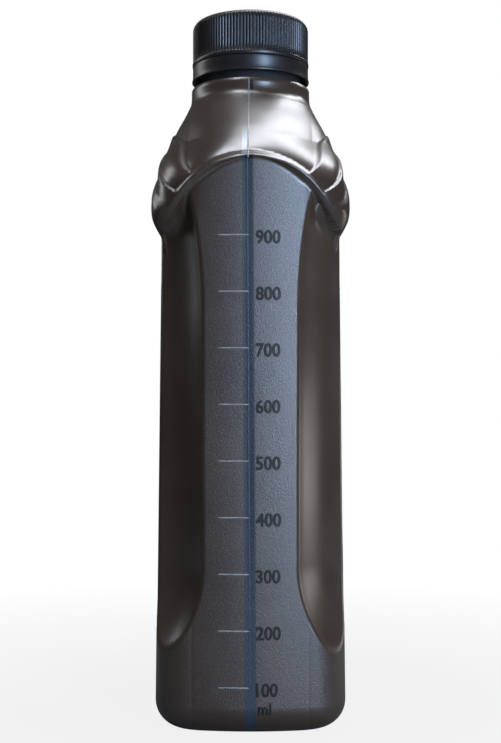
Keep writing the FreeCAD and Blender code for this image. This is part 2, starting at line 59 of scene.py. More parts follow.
# Grip scoops
SCOOP_AXIS = (43.2, 63.4)
SCOOP_ROUND = 30.0
SCOOP_TAPER_TOP = 52.0
SCOOP_TAPER = 0.0117
SCOOP_SPREAD_FROM = 132.0
SCOOP_SPREAD = 0.0030
SCOOP_TOP_BLEND = 6.0
SCOOP_TOP_SLOPE = 0.45

# Shoulder skin and collar from the bottom up: level, half thickness, half width, corner radius
SKIN = np.array((
    (140.0, 28.4, 53.6, 17.0),
    (177.0, 28.3, 53.6, 18.0),
    (181.0, 28.0, 51.0, 19.5),
    (185.5, 27.0, 46.4, 22.0),
    (190.0, 26.1, 41.3, 22.5),
    (194.0, 25.0, 36.2, 22.5),
    (199.0, 22.7, 29.6, 21.8),
    (203.6, 20.8, 23.6, 20.5),
    (205.6, 20.3, 20.9, 20.25),
    (209.5, 20.25, 20.25, 20.2),
    (214.0, 20.25, 20.25, 20.2),
))
COLLAR = np.array((
    (140.0, 31.5, 56.0, 17.0),
    (165.0, 31.5, 56.0, 17.0),
    (178.0, 30.7, 55.6, 18.0),
    (184.0, 30.2, 51.8, 19.0),
    (214.0, 24.0, 30.0, 19.0),
))
BROW_DROP = 0.014
BROW_REACH = 20.0
BROW_TOP = 203.0
BROW_FADE = 16.0
TIER_STEP = 0.6
TIER_CORNER = 3.6
TIER_ARCHES = ((193.9, 0.0078), (188.5, 0.0081))
COLLAR_TOP = (180.4, 0.0205, 183.0, 0.0066)
COLLAR_SLOPE = 0.75
CORE_TOP = (178.4, 0.020, 171.0, 0.0112)

# Arches that end the collar below: on the lower body's face, and how they rise toward the collar's crest
ARCH_APEX = 177.5
ARCH_DROP = 0.028
ARCH_RISE = 0.3
ARCH_SPREAD = 0.0105
SIDE_APEX = 168.7
SIDE_DROP = 0.0112
SIDE_RISE = 5.8
COLLAR_DEPTH = (1.7, 3.0)

# Neck and closure
LEDGE_TOP = 211.0
LEDGE_RADIUS = 20.25
NECK_RADIUS = 17.0
BORE_RADIUS = 15.4
BEAD_LEVEL = 215.9
BEAD_RADIUS = 18.6
RIM_LEVEL = 231.2
THREAD_PITCH = 4.0
THREAD_START = 219.9
THREAD_RISE = 1.0
THREAD_ROOT = 1.6
THREAD_CREST = 0.8
THREAD_GAP = 0.35
THREAD_TURNS = 2.0
CAP_BOTTOM = 218.8
CAP_TOP = 234.0
CAP_RADIUS = 20.0
CAP_PLATE = 1.8
CAP_DOME = 3.0
CAP_RIM = 1.3
CAP_LEDGE = 0.15
RIB_COUNT = 116
RIB_DEPTH = 0.36
BAND_INNER = 18.95
BAND_RADIUS = 20.0
BAND_BOTTOM = 213.4
BAND_TOP = 218.7

# Graduations
MARK_FIRST = 15.2
MARK_PITCH = 17.3
MARK_COUNT = 9
MARK_LEFT = -10.3
MARK_LENGTH = 9.8
MARK_STEPS = 14
NUMBER_LEFT = 1.7
NUMBER_DROP = 0.6
NUMBER_HEIGHT = 4.3
NUMBER_NARROWING = 0.9
NUMBER_SINK = 0.12
NUMBER_RISE = 0.45
UNIT_LEFT = 2.3
UNIT_DROP = 6.4
UNIT_HEIGHT = 3.6
SEAM_BOTTOM = 177.2
SEAM_ASIDE = -0.5
SEAM_DRIFT = 0.25

# Places that the plastic's material reads, in metres, each as the two ends of a soft edge
STRIPE_DRIFT = (0.010, 0.176, -0.00015, 0.00075)
STRIPE_SPAN = (-0.0019, 0.0018)
STRIPE_LEFT = (-0.0020, -0.0018)
STRIPE_RIGHT = (0.0018, 0.0016)
STRIPE_FRONT = (-0.0190, -0.0195)
STRIPE_TOP = (0.1788, 0.1782)
STRIPE_FOOT = (0.0012, 0.0022)
STRIPE_FADE = (0.075, 0.015)
BLOOM_TOP = (0.191, 0.184)
BLOOM_FOOT = (0.1782, 0.1788)
BLOOM_RIGHT = (-0.0002, -0.0005)
# Place and half size of a small lens of painted shade on the neck's front
GROOVE_SHADE_PLACE = (0.0003, 0.2072)
GROOVE_SHADE_HALF = (0.0007, 0.0032)
# Level and radius of the painted shade on the neck above the ledge, under the band and cap
NECK_SHADE_LEVEL = (0.2109, 0.2112)
NECK_SHADE_RADIUS = (0.0192, 0.0182)

# Mesh density
COLUMNS = 324
BODY_ROWS = 240
FLOOR_RINGS = 9
INNER_RINGS = 20
EASE_WIDTH = 1.3
NORMAL_STEP = 0.04

# Lamps in metres and watts: name, place, target, size, power, colour
SURROUND_LEVEL = 0.05
LAMPS = (
    ("key_right", (0.285, -0.54, 0.28), (0.0, -0.05, 0.13), (0.14, 0.50), 4.8, (0.62, 0.79, 1.0)),
    ("overhead_right", (0.140, 0.17, 0.60), (0.130, 0.16, 0.19), (0.10, 0.80), 3.1, (1.0, 1.0, 1.0)),
    ("rim_left", (-0.46, 0.24, 0.40), (0.0, 0.0, 0.17), (0.16, 0.40), 0.65, (1.0, 0.98, 0.93)),
    ("warm_right", (0.50, 0.17, 0.056), (0.0, -0.03, 0.056), (0.30, 0.10), 0.22, (1.0, 0.90, 0.78)),
    ("low_fill", (0.20, -0.62, 0.06), (0.0, -0.05, 0.03), (0.36, 0.10), 0.45, (0.86, 0.92, 1.0)),
)
FLOOR_SIZE = 3.0
FLOOR_GREY = 0.16
SHADOW_NEAR = 0.08
SHADOW_FAR = 0.30
SHADOW_COVER = 0.86

# Camera in metres, level and a little above the middle of the lower body
CAMERA_PLACE = (0.0, -0.444, 0.100)
CAMERA_LENS = 61.8
CAMERA_SHIFT = 0.052


def smooth_max(first, second, blend):
    """Return the larger of two fields, rounded over where they meet."""
    share = np.clip(0.5 + 0.5 * (first - second) / blend, 0.0, 1.0)
    return second + (first - second) * share + blend * share * (1.0 - share)


def smooth_min(first, second, blend):
    """Return the smaller of two fields, filleted where they meet."""
    return -smooth_max(-first, -second, blend)


def section(x, y, half_x, half_y, radius):
    """Return the distance outside a round-cornered rectangle."""
    over_x = np.abs(x) - half_x + radius
    over_y = np.abs(y) - half_y + radius
    corner = np.hypot(np.maximum(over_x, 0.0), np.maximum(over_y, 0.0))
    return corner + np.minimum(np.maximum(over_x, over_y), 0.0) - radius


def eased(table, column, level):
    """Read one column of a table of stations as a curve that is smoothed along the height."""
    grid = np.linspace(table[0, 0] - 20.0, table[-1, 0] + 20.0, 900)
    step = grid[1] - grid[0]
    values = np.interp(grid, table[:, 0], table[:, column])
    reach = int(6.0 / step)
    weights = np.exp(-0.5 * (np.arange(-reach, reach + 1) * step / EASE_WIDTH) ** 2)
    padded = np.pad(values, reach, mode="edge")
    return np.interp(level, grid, np.convolve(padded, weights / weights.sum(), mode="valid"))


def shell(table, x, y, z, extra=0.0):
    """Return the field of a shoulder shell, drawn out in thickness by an extra."""
    fade = np.clip((BROW_TOP - z) / BROW_FADE, 0.0, 1.0)
    brow = z + BROW_DROP * fade * np.minimum(np.abs(x), BROW_REACH) ** 2
    corner = eased(table, 3, z) - TIER_CORNER * extra
    return section(x, y, eased(table, 1, z) + extra, eased(table, 2, brow), corner)


def above_arches(x, y, z, trim):
    """Return how far a point is above both the narrow and the wide arch of a trim."""
    return np.minimum(z - trim[0] + trim[1] * x ** 2, z - trim[2] + trim[3] * y ** 2)


def core_field(x, y, z):
    """Return the field of the tapered lower body without its scoops."""
    rise = np.clip((z - FOOT_ROUND) / (HEAD_LEVEL - FOOT_ROUND), 0.0, 1.1)
    under = np.clip(FOOT_ROUND - z, 0.0, FOOT_ROUND)
    pull = FOOT_ROUND - np.sqrt(FOOT_ROUND ** 2 - under ** 2)
    half_x = FOOT_HALF[0] + (HEAD_HALF[0] - FOOT_HALF[0]) * rise - pull
    half_y = FOOT_HALF[1] + (HEAD_HALF[1] - FOOT_HALF[1]) * rise - pull
    crown = STRIP_CROWN * np.minimum(np.abs(x), 18.0) ** 2
    return section(x, y, half_x, half_y - crown, CORNER_ROUND - 0.8 * pull)


def arch_levels(x, y, share):
    """Return the level of the narrow and of the wide arch, from the lower body's face out to the crest."""
    narrow = ARCH_APEX + ARCH_RISE * share - (ARCH_DROP - ARCH_SPREAD * share) * x ** 2
    wide = SIDE_APEX + SIDE_RISE * share - SIDE_DROP * y ** 2
    return narrow, wide


def scoop_cut(x, y, z):
    """Return how deep a point lies in a grip scoop, which tapers out below and spreads above."""
    reach = SCOOP_ROUND - SCOOP_TAPER * np.maximum(SCOOP_TAPER_TOP - z, 0.0) ** 2
    spread = SCOOP_SPREAD * np.maximum(z - SCOOP_SPREAD_FROM, 0.0) ** 2
    return reach - np.hypot(np.abs(x) - SCOOP_AXIS[0] - spread, np.abs(y) - SCOOP_AXIS[1])


def scoop_field(x, y, z):
    """Return the field of the four grip scoops, positive inside and closed above under the arches."""
    scoop = scoop_cut(x, y, z)
    narrow, wide = arch_levels(x, y, 0.0)
    depth = np.maximum(-core_field(x, y, np.minimum(z, HEAD_LEVEL)), 0.0)
    top = (np.maximum(narrow, wide) - SCOOP_TOP_SLOPE * depth - z) * 0.85
    return smooth_min(scoop, top, np.minimum(0.5 + 1.4 * depth, SCOOP_TOP_BLEND))


def lower_body_field(x, y, z):
    """Return the field of the tapered lower body, ended above by its arches."""
    return smooth_max(core_field(x, y, z), above_arches(x, y, z, CORE_TOP), 0.4)


def shoulder_field(x, y, z):
    """Return the field of the shoulder: skin, two tiers and the collar, cut off by four flared arches."""
    body = shell(SKIN, x, y, z)
    for count, (apex, drop) in enumerate(TIER_ARCHES, start=1):
        tier = shell(SKIN, x, y, z, count * TIER_STEP)
        body = smooth_min(body, smooth_max(tier, z - apex + drop * y ** 2, 0.2), 0.12)
    under = np.maximum(-above_arches(x, y, z, COLLAR_TOP), 0.0)
    slope = (shell(SKIN, x, y, z) - COLLAR_SLOPE * under) / 1.25
    body = smooth_min(body, smooth_max(shell(COLLAR, x, y, z), slope, 0.5), 0.4)
    outward = core_field(x, y, np.minimum(z, HEAD_LEVEL))
    side = np.clip((np.abs(x) - 15.0) / 13.0, 0.0, 1.0)
    share = np.clip(outward / (COLLAR_DEPTH[0] + (COLLAR_DEPTH[1] - COLLAR_DEPTH[0]) * side), -2.0, 2.0)
    narrow, wide = arch_levels(x, y, share)
    narrow = (narrow - z) / np.sqrt(1.0 + ((ARCH_RISE + ARCH_SPREAD * x ** 2) / COLLAR_DEPTH[1]) ** 2)
    wide = (wide - z) / 2.2
    return smooth_max(smooth_max(body, narrow, 0.8), wide, 1.1)


def bottle_field(x, y, z):
    """Return the field of the whole bottle below its neck, negative inside."""
    body = smooth_min(lower_body_field(x, y, z), shoulder_field(x, y, z), 0.5)
    return smooth_max(body, scoop_field(x, y, z), 1.1)


def radius_at(angle, z):
    """Find how far the bottle's outside lies from its axis in each direction and level."""
    cosine, sine = np.cos(angle), np.sin(angle)
    low = np.full(np.broadcast(angle, z).shape, 8.0)
    high = np.full_like(low, 68.0)
    for _ in range(22):
        middle = 0.5 * (low + high)
        inside = bottle_field(middle * cosine, middle * sine, z) < 0.0
        low = np.where(inside, middle, low)
        high = np.where(inside, high, middle)
    return 0.5 * (low + high)


def spread(weights, count):
    """Return places along a sampled line, as fractional indices, that share its weight evenly."""
    total = np.concatenate(([0.0], np.cumsum(weights)))
    return np.interp(np.linspace(0.0, total[-1], count), total, np.arange(len(total)))


def turn_weights(across, up, corner_weight):
    """Weigh each step of a profile by its length and by how much it turns."""
    step_across, step_up = np.diff(across, axis=0), np.diff(up, axis=0)
    length = np.hypot(step_across, step_up)
    heading = np.unwrap(np.arctan2(step_across, step_up), axis=0)
    turn = np.abs(np.diff(heading, axis=0))
    turn = np.concatenate((turn[:1], turn), axis=0)
    return length + corner_weight * turn


def column_angles():
    """Choose the directions of the mesh's columns, closer together at bends and at the front."""
    fine = np.linspace(-math.pi, math.pi, 2881)
    radius = radius_at(fine, 100.0)
    weights = turn_weights(radius * np.cos(fine), radius * np.sin(fine), 3.0)
    middle = 0.5 * (fine[1:] + fine[:-1])
    front = np.where(np.abs(middle + math.pi / 2) < 0.62, 2.2, 1.0)
    places = spread(weights * front, COLUMNS + 1)[:-1]
    return np.interp(places, np.arange(len(fine)), fine)


def body_grid(angles):
    """Return radius and level of every vertex on the bottle's outside, in rows from the foot up."""
    fine = np.concatenate((0.5 * np.linspace(0, 1, 14) ** 2, np.linspace(0.6, 210.3, 760)))
    radius = radius_at(angles[None, :], fine[:, None])
    levels = np.repeat(fine[:, None], len(angles), axis=1)
    weights = turn_weights(radius, levels, 2.4)
    kernel = np.ones(7) / 7
    weights = np.apply_along_axis(lambda line: np.convolve(line, kernel, mode="same"), 0, weights)
    wrapped = np.concatenate((weights[:, -4:], weights, weights[:, :4]), axis=1)
    weights = sum(wrapped[:, shift:shift + len(angles)] for shift in range(9)) / 9
    rows = np.empty((2, BODY_ROWS, len(angles)))
    for column in range(len(angles)):
        places = spread(weights[:, column], BODY_ROWS)
        rows[1, :, column] = np.interp(places, np.arange(len(fine)), fine)
    rows[0] = radius_at(angles[None, :], rows[1])
    return rows


def mesh_object(name, vertices, faces):
    """Make a smooth mesh object from vertices in millimetres."""
    mesh = bpy.data.meshes.new(name)
    mesh.from_pydata((np.asarray(vertices) * MM).tolist(), [], faces)
    mesh.polygons.foreach_set("use_smooth", [True] * len(mesh.polygons))
    mesh.update()
    obj = bpy.data.objects.new(name, mesh)
    bpy.context.scene.collection.objects.link(obj)
    return obj


def grid_faces(rows, columns):
    """Return the quads of a grid whose columns close on themselves."""
    row, column = np.meshgrid(np.arange(rows - 1), np.arange(columns), indexing="ij")
    after = (column + 1) % columns
    quads = np.stack((row * columns + column, row * columns + after,
                      (row + 1) * columns + after, (row + 1) * columns + column), axis=-1)
    return quads.reshape(-1, 4).tolist()


def lathe_points(profile, angles):
    """Turn a profile of radius and level pairs into rings of points."""
    cosine, sine = np.cos(angles), np.sin(angles)
    rings = [np.stack((radius * cosine, radius * sine, np.full(len(angles), level)), axis=1)
             for radius, level in profile]
    return np.concatenate(rings)


def arc(centre, radius, start, end, count):
    """Return points of an arc in a profile, with its angles in degrees."""
    angles = np.radians(np.linspace(start, end, count))
    return [(centre[0] + radius * math.cos(a), centre[1] + radius * math.sin(a)) for a in angles]


def neck_profile():
    """Return the neck's outline from the ledge over the rim and down the bore."""
    profile = arc((LEDGE_RADIUS - 0.6, LEDGE_TOP - 0.6), 0.6, 0, 90, 4)
    profile += [(NECK_RADIUS + 0.3, LEDGE_TOP), (NECK_RADIUS, LEDGE_TOP + 0.3)]
    profile += [(NECK_RADIUS, BEAD_LEVEL - 0.8), (BEAD_RADIUS - 0.2, BEAD_LEVEL - 0.1)]
    profile += [(BEAD_RADIUS, BEAD_LEVEL + 0.2), (BEAD_RADIUS, BEAD_LEVEL + 1.0)]
    profile += [(BEAD_RADIUS - 0.2, BEAD_LEVEL + 1.3), (NECK_RADIUS, BEAD_LEVEL + 2.0)]
    profile += [(NECK_RADIUS, RIM_LEVEL - 0.5), (NECK_RADIUS - 0.15, RIM_LEVEL - 0.15)]
    profile += [(NECK_RADIUS - 0.4, RIM_LEVEL), (BORE_RADIUS + 0.2, RIM_LEVEL)]
    profile += [(BORE_RADIUS, RIM_LEVEL - 0.2), (BORE_RADIUS, LEDGE_TOP - 1.5), (18.0, LEDGE_TOP - 4.5)]
    return profile


def build_bottle():
    """Build the bottle: foot and push-up, body, shoulder, neck and the inside of the wall."""
    angles = column_angles()
    radius, level = body_grid(angles)
    cosine, sine = np.cos(angles), np.sin(angles)
    outside = np.stack((radius * cosine, radius * sine, level), axis=-1)

    foot = outside[0]
    floor_rings = []
    for share in np.linspace(0.0, 0.97, FLOOR_RINGS)[::-1]:
        edge = np.clip((share - PUSHUP_EDGE) / PUSHUP_SLOPE, 0.0, 1.0)
        lift = PUSHUP_DEPTH * (1.0 - edge ** 2 * (3.0 - 2.0 * edge))
        floor_rings.append(foot * (share, share, 0.0) + (0.0, 0.0, lift))
    floor = np.concatenate(floor_rings[::-1])

    neck = lathe_points(neck_profile(), angles)
    picks = np.linspace(BODY_ROWS - 8, 6, INNER_RINGS).astype(int)
    inner_radius = radius[picks] - 1.25 * WALL
    inner_level = np.maximum(level[picks] - 0.3 * WALL, PUSHUP_DEPTH + WALL)
    inside = np.stack((inner_radius * cosine, inner_radius * sine, inner_level), axis=-1)
    drain = inside[-1] * (0.02, 0.02, 0.0) + (0.0, 0.0, PUSHUP_DEPTH + WALL)

    points = np.concatenate((floor, outside.reshape(-1, 3), neck, inside.reshape(-1, 3), drain))
    rings = len(points) // COLUMNS
    faces = grid_faces(rings, COLUMNS)
    faces.append(list(range(COLUMNS))[::-1])
    faces.append(list(range(len(points) - COLUMNS, len(points))))

    return mesh_object("bottle_shell", points, faces)


def thread_points(start, turns, wall_radius, crest_radius, samples):
    """Return rows of a screw thread's section along its helix, tapered at both ends."""
    rows = []
    for index in range(samples + 1):
        share = index / samples
        angle = 2 * math.pi * turns * share
        fade = min(1.0, share * turns * 9.0, (1.0 - share) * turns * 9.0)
        crest = wall_radius + (crest_radius - wall_radius) * max(fade, 0.02)
        level = start + THREAD_PITCH * turns * share
        half_root, half_crest = THREAD_ROOT / 2, THREAD_CREST / 2
        outline = ((wall_radius, -half_root), (crest, -half_crest),
                   (crest, half_crest), (wall_radius, half_root))
        rows += [(r * math.cos(angle), r * math.sin(angle), level + up) for r, up in outline]
    faces = []
    for index in range(samples):
        low = 4 * index
        for side in range(4):
            after = (side + 1) % 4
            faces.append([low + side, low + after, low + 4 + after, low + 4 + side])
    faces.append([0, 3, 2, 1])
    last = 4 * samples
    faces.append([last, last + 1, last + 2, last + 3])
    return rows, faces


def build_thread():
    """Build the ridge of the neck's screw thread."""
    points, faces = thread_points(THREAD_START, THREAD_TURNS, NECK_RADIUS - 0.1,
                                  NECK_RADIUS + THREAD_RISE, 240)
    obj = mesh_object("neck_thread", points, faces)
    bevel = obj.modifiers.new("soft_edges", "BEVEL")
    bevel.width = 0.18 * MM
    bevel.segments = 2
    return obj


def bottle_normals(obj):
    """Give the bottle's outside the exact normals of its field."""
    mesh = obj.data
    count = len(mesh.vertices)
    points = np.empty(count * 3)
    mesh.vertices.foreach_get("co", points)
    points = points.reshape(-1, 3) / MM
    normals = np.empty(count * 3)
    mesh.vertex_normals.foreach_get("vector", normals)
    normals = normals.reshape(-1, 3)
    x, y, z = points.T
    step = NORMAL_STEP
    gradient = np.stack((
        bottle_field(x + step, y, z) - bottle_field(x - step, y, z),
        bottle_field(x, y + step, z) - bottle_field(x, y - step, z),
        bottle_field(x, y, z + step) - bottle_field(x, y, z - step),
    ), axis=1)
    length = np.linalg.norm(gradient, axis=1, keepdims=True)
    gradient = gradient / np.maximum(length, 1e-9)
    outside = (np.abs(bottle_field(x, y, z)) < 0.02) & (z > 0.4) & (z < LEDGE_TOP - 0.8)
    normals[outside] = gradient[outside]
    mesh.normals_split_custom_set_from_vertices(normals.tolist())


def front_surface(x, z):
    """Find the bottle's face toward the viewer at a place across and up."""
    x, z = np.asarray(x, dtype=float), np.asarray(z, dtype=float)
    low, high = np.full(np.broadcast(x, z).shape, -70.0), np.full(np.broadcast(x, z).shape, -10.0)
    for _ in range(24):
        middle = 0.5 * (low + high)
        inside = bottle_field(x, middle, z) < 0.0
        high = np.where(inside, middle, high)
        low = np.where(inside, low, middle)
    return 0.5 * (low + high)


def build_marks():
    """Build the raised graduation bars on the front strip."""
    vertices, faces = [], []
    steps = MARK_STEPS
    for index in range(MARK_COUNT):
        middle = MARK_FIRST + MARK_PITCH * index
        for share in np.linspace(0.0, 1.0, steps):
            x = MARK_LEFT + MARK_LENGTH * share
            end = min(1.0, min(share, 1.0 - share) * 12.0 + 0.25)
            y = float(front_surface(x, middle))
            outline = ((0.2, -0.3), (-0.12, -0.24), (-0.26, 0.0), (-0.12, 0.24), (0.2, 0.3))
            vertices += [(x, y + out * (end if out < 0 else 1.0), middle + up * end) for out, up in outline]
        first = index * steps * 5
        for row in range(steps - 1):
            low = first + 5 * row
            faces += [[low + s, low + (s + 1) % 5, low + 5 + (s + 1) % 5, low + 5 + s] for s in range(5)]
        faces.append([first + s for s in (4, 3, 2, 1, 0)])
        last = first + 5 * (steps - 1)
        faces.append([last + s for s in range(5)])
    return mesh_object("graduation_bars", vertices, faces)


def build_parting_ridge():
    """Build the fine moulding seam down the front of the shoulder, from the ledge to the arch."""
    levels = np.linspace(SEAM_BOTTOM, LEDGE_TOP - 0.3, 60)
    vertices, faces = [], []
    for level in levels:
        middle = SEAM_ASIDE - SEAM_DRIFT * (LEDGE_TOP - level) / (LEDGE_TOP - SEAM_BOTTOM)
        front = float(front_surface(middle, level))
        outline = ((-0.26, 0.12), (-0.14, -0.1), (0.0, -0.17), (0.14, -0.1), (0.26, 0.12))
        vertices += [(middle + aside, front + out, level) for aside, out in outline]
    for row in range(len(levels) - 1):
        low = 5 * row
        faces += [[low + s, low + (s + 1) % 5, low + 5 + (s + 1) % 5, low + 5 + s] for s in range(5)]
    last = 5 * (len(levels) - 1)
    faces += [[4, 3, 2, 1, 0], [last + s for s in range(5)]]
    return mesh_object("parting_ridge", vertices, faces)


def build_number(name, text, left, middle, height):
    """Build one embossed number, laid on the curved front face."""
    curve = bpy.data.curves.new(name, "FONT")
    curve.body = text
    curve.size = 1.0
    curve.extrude = 0.03
    curve.offset = 0.012
    curve.bevel_depth = 0.012
    curve.bevel_resolution = 1
    curve.resolution_u = 3
    source = bpy.data.objects.new(name, curve)
    bpy.context.scene.collection.objects.link(source)
    bpy.context.view_layer.update()
    mesh = bpy.data.meshes.new_from_object(source)
    bpy.data.objects.remove(source)
    obj = bpy.data.objects.new(name, mesh)
    bpy.context.scene.collection.objects.link(obj)
    points = np.empty(len(mesh.vertices) * 3)
    mesh.vertices.foreach_get("co", points)
    points = points.reshape(-1, 3)
    low, high = points.min(axis=0), points.max(axis=0)
    scale = height / (high[1] - low[1])
    x = left + (points[:, 0] - low[0]) * scale * NUMBER_NARROWING
    z = middle + (points[:, 1] - 0.5 * (low[1] + high[1])) * scale
    rise = (points[:, 2] - low[2]) / (high[2] - low[2])
    y = front_surface(x, z) + NUMBER_SINK - NUMBER_RISE * rise
    mesh.vertices.foreach_set("co", (np.stack((x, y, z), axis=1) * MM).ravel())
    mesh.update()
    return obj


def build_numbers():
    """Build the numbers beside the bars and the unit below the lowest."""
    pieces = []
    for index in range(MARK_COUNT):
        middle = MARK_FIRST + MARK_PITCH * index - NUMBER_DROP
        amount = 100 * (index + 1)
        pieces.append(build_number(f"number_{amount}", str(amount), NUMBER_LEFT, middle, NUMBER_HEIGHT))
    pieces.append(build_number("unit_ml", "ml", UNIT_LEFT, MARK_FIRST - UNIT_DROP, UNIT_HEIGHT))
    return pieces


def build_cap():
    """Build the screw cap: ribbed skirt, domed edge, flat top, and its hollow inside."""
    per_rib = 8
    columns = RIB_COUNT * per_rib
    angles = np.linspace(0.0, 2 * math.pi, columns, endpoint=False)
    groove = 1.0 - (0.5 + 0.5 * np.cos(RIB_COUNT * angles)) ** 2.0
    rows = []
    rim_top = CAP_BOTTOM + CAP_RIM
    outline = [(18.9, CAP_BOTTOM, 0.0), (CAP_RADIUS, CAP_BOTTOM, 0.0)]
    ledge = CAP_RADIUS + CAP_LEDGE
    outline += [(ledge, CAP_BOTTOM + CAP_LEDGE, 0.0), (ledge, rim_top - 0.3, 0.0)]
    outline += [(CAP_RADIUS, rim_top, 0.0), (CAP_RADIUS, rim_top + CAP_LEDGE, 0.9)]
    outline += [(CAP_RADIUS, rim_top + 2.5, 1.0), (CAP_RADIUS, rim_top + 6.0, 1.0)]
    edge = arc((CAP_RADIUS - CAP_DOME, CAP_TOP - CAP_DOME), CAP_DOME, 0, 90, 13)
    depths = (1.0, 1.0, 1.0, 0.95, 0.7, 0.25, 0.0, 0.0, 0.0, 0.0, 0.0, 0.0, 0.0)
    outline += [(radius, level, deep) for (radius, level), deep in zip(edge, depths)]
    outline += [(14.0, CAP_TOP, 0.0), (8.0, CAP_TOP, 0.0), (0.2, CAP_TOP, 0.0)]
    for radius, level, deep in outline:
        around = radius - RIB_DEPTH * deep * groove
        ring = np.stack((around * np.cos(angles), around * np.sin(angles), np.full(columns, level)), axis=1)
        rows.append(ring)
    points = np.concatenate(rows)
    faces = grid_faces(len(rows), columns)
    last = (len(rows) - 1) * columns
    faces.append(list(range(last, last + columns)))
    outside = mesh_object("cap_shell", points, faces)

    bore = NECK_RADIUS + THREAD_RISE + THREAD_GAP
    few = np.linspace(0.0, 2 * math.pi, 96, endpoint=False)
    ceiling = CAP_TOP - CAP_PLATE
    inner = [(0.2, ceiling), (bore - 0.5, ceiling), (bore, ceiling - 0.5)]
    inner += [(bore, CAP_BOTTOM + 0.5), (bore + 0.3, CAP_BOTTOM), (19.0, CAP_BOTTOM)]
    points = lathe_points(inner, few)
    inside = mesh_object("cap_inside", points, [face[::-1] for face in grid_faces(len(inner), 96)][::-1])
    return outside, inside


def build_band():
    """Build the tamper band with its flared lower rim."""
    angles = np.linspace(0.0, 2 * math.pi, 192, endpoint=False)
    outline = [(BAND_INNER, BAND_TOP - 0.1), (19.7, BAND_TOP), (19.9, BAND_TOP - 0.1)]
    outline += [(BAND_RADIUS, BAND_TOP - 0.35), (BAND_RADIUS, 217.4), (BAND_RADIUS, 216.0)]
    outline += [(20.05, 214.6), (20.2, 214.1), (20.3, 213.75), (20.28, 213.5), (20.1, BAND_BOTTOM)]
    outline += [(19.3, BAND_BOTTOM), (BAND_INNER, 213.9), (BAND_INNER, 216.5)]
    points = lathe_points(outline, angles)
    faces = grid_faces(len(outline), 192)
    first = (len(outline) - 1) * 192
    faces += [[first + c, first + (c + 1) % 192, (c + 1) % 192, c] for c in range(192)]
    return mesh_object("tamper_ring", points, faces)


class Nodes:
    """A small helper that adds and links the nodes of one material."""

    def __init__(self, name):
        self.material = bpy.data.materials.new(name)
        self.material.use_nodes = True
        self.tree = self.material.node_tree
        self.shader = self.tree.nodes["Principled BSDF"]

    def add(self, kind, links=None, **settings):
        """Add a node, set its properties and link or set its inputs."""
        node = self.tree.nodes.new(kind)
        for key, value in settings.items():
            setattr(node, key, value)
        for key, value in (links or {}).items():
            self.feed(node.inputs[key], value)
        return node

    def feed(self, socket, value):
        """Link a socket to another, or set its constant value."""
        if isinstance(value, bpy.types.NodeSocket):
            self.tree.links.new(value, socket)
        else:
            socket.default_value = value

    def shade(self, **inputs):
        """Set or link inputs of the main shader, with underscores for spaces."""
        for key, value in inputs.items():
            self.feed(self.shader.inputs[key.replace("_", " ")], value)

    def place(self):
        """Return the object coordinates."""
        return self.add("ShaderNodeTexCoord").outputs["Object"]

    def noise(self, scale, detail=4.0, rough=0.55):
        """Return a noise value over the object coordinates."""
        links = {"Vector": self.place(), "Scale": scale, "Detail": detail, "Roughness": rough}
        return self.add("ShaderNodeTexNoise", links).outputs["Fac"]

    def remap(self, value, low, high, out_low, out_high):
        """Return a value mapped from one range to another."""
        links = {"Value": value, "From Min": low, "From Max": high, "To Min": out_low, "To Max": out_high}
        return self.add("ShaderNodeMapRange", links).outputs["Result"]

    def vary(self, value, low, high):
        """Return a noise value spread out between two levels."""
        return self.remap(value, 0.3, 0.7, low, high)

    def tint(self, value, first, second):
        """Return a colour that wanders between two with a noise value."""
        return self.mix(self.vary(value, 0.0, 1.0), solid(first), solid(second))

    def math(self, operation, first, second=0.0):
        """Return the result of a sum of two values."""
        return self.add("ShaderNodeMath", {0: first, 1: second}, operation=operation).outputs[0]

    def mix(self, share, first, second):
        """Return two colours mixed by a share."""
        node = self.add("ShaderNodeMix", {"Factor": share}, data_type="RGBA")
        self.feed(node.inputs[6], first)
        self.feed(node.inputs[7], second)
        return node.outputs[2]

    def ramp(self, value, stops):
        """Return a colour ramp over a value."""
        node = self.add("ShaderNodeValToRGB", {"Fac": value})
        elements = node.color_ramp.elements
        while len(elements) < len(stops):
            elements.new(0.5)
        for element, (place, colour) in zip(elements, stops):
            element.position = place
            element.color = (*colour, 1.0)
        return node.outputs["Color"]

    def bump(self, height, distance, strength=1.0, normal=None):
        """Return a normal bumped by a height."""
        links = {"Height": height, "Distance": distance, "Strength": strength}
        if normal is not None:
            links["Normal"] = normal
        return self.add("ShaderNodeBump", links).outputs["Normal"]


def linear(red, green, blue):
    """Turn a display colour of 0 to 255 into a linear one."""
    parts = [value / 255 for value in (red, green, blue)]
    return tuple(part / 12.92 if part <= 0.04045 else ((part + 0.055) / 1.055) ** 2.4 for part in parts)


def solid(colour):
    """Return a colour with full opacity."""
    return (*colour, 1.0)


PEWTER_DARK = linear(57, 43, 34)
PEWTER_LIGHT = linear(66, 52, 42)
SLATE = linear(44, 50, 61)
SLATE_LOW = linear(52, 60, 74)
NAVY = linear(12, 16, 26)
PALE_BLUE = linear(60, 68, 84)
STRIPE_STOPS = (
    (0.0, linear(56, 50, 48)),
    (0.08, linear(58, 58, 62)),
    (0.14, SLATE),
    (0.27, SLATE),
    (0.31, NAVY),
    (0.41, NAVY),
    (0.43, PALE_BLUE),
    (0.49, PALE_BLUE),
    (0.52, NAVY),
    (0.84, linear(13, 17, 27)),
    (0.90, linear(44, 46, 58)),
    (1.0, linear(56, 50, 48)),
)
PEWTER_FLAKE = linear(120, 122, 130)
LAVENDER = linear(100, 104, 116)
# Near black, used for painted shade on the neck and in the small lens on its front
PAINTED_SHADE_BLACK = linear(6, 6, 9)


def all_of(m, *shares):
    """Return the product of several shares."""
    product = shares[0]
    for share in shares[1:]:
        product = m.math("MULTIPLY", product, share)
    return product


